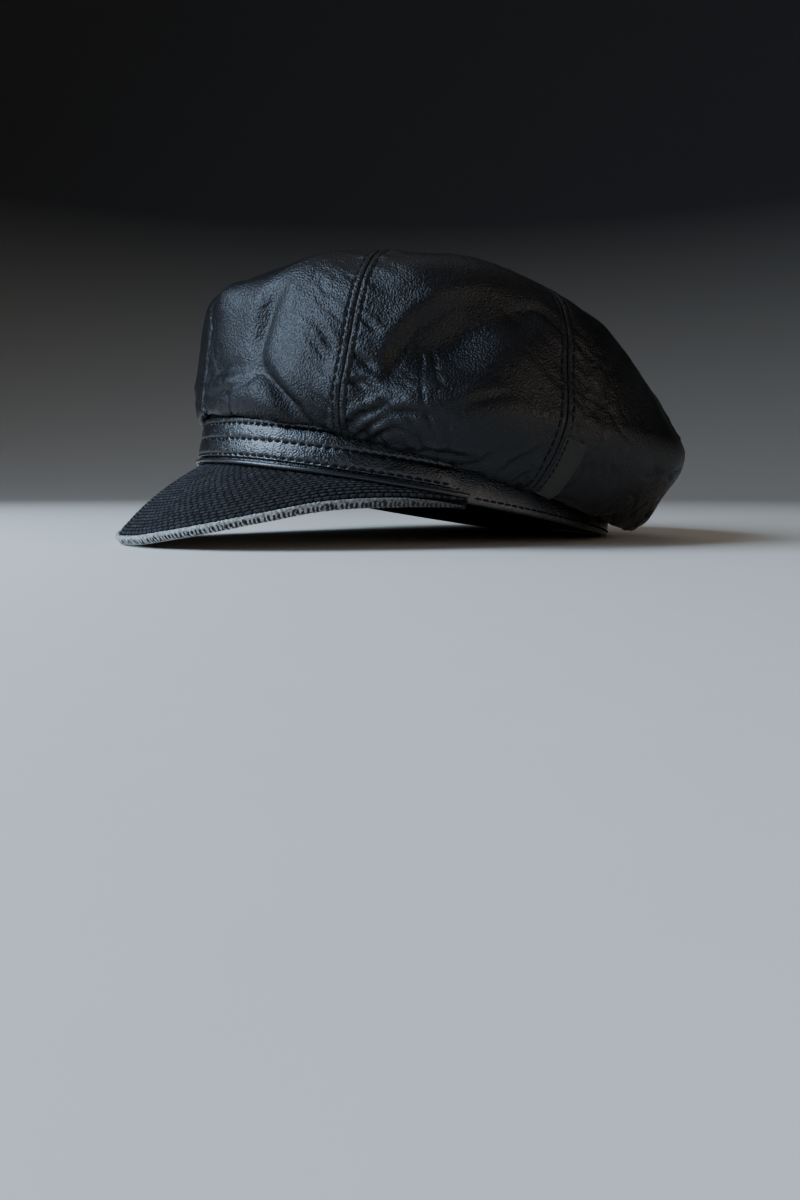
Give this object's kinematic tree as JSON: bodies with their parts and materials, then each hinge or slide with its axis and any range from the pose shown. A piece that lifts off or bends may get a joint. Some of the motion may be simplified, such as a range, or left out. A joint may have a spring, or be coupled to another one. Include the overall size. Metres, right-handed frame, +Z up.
{
  "type": "baker boy cap",
  "caption": "Full panelled crown of soft black leather gathered into a stitched band, with a short fabric-covered peak; worn on the head, shown resting on a surface.",
  "frame": {"origin": "on the surface that the cap rests on, under the middle of its bounding box", "axes": "+Z up from the surface, -Y towards the peak, +X towards the wearer's left"},
  "size_m": [0.222, 0.2638, 0.1186],
  "materials": {
    "crown_leather": "black leather with a fine pebble grain and a soft gloss",
    "band_leather": "black leather, smooth and semi-gloss",
    "piping_leather": "black leather cord, glossy",
    "sweatband_leather": "thin black leather, dull",
    "peak_fabric": "coarse black and grey weave",
    "edge_fabric": "light grey twill binding",
    "underside_fabric": "plain black cloth",
    "tab_fabric": "dark olive grey woven tab, bare"
  },
  "bodies": {
    "root": {"crown_panel_1": "crown_leather", "crown_panel_2": "crown_leather", "crown_panel_3": "crown_leather", "crown_panel_4": "crown_leather", "crown_panel_5": "crown_leather", "crown_panel_6": "crown_leather", "crown_panel_7": "crown_leather", "crown_panel_8": "crown_leather", "button": "crown_leather", "band": "band_leather", "front_strap": "band_leather", "sweatband": "sweatband_leather", "piping": "piping_leather", "peak_cover": "peak_fabric", "peak_underside": "underside_fabric", "peak_edge": "edge_fabric", "label_tab": "tab_fabric"}
  },
  "joints": []
}
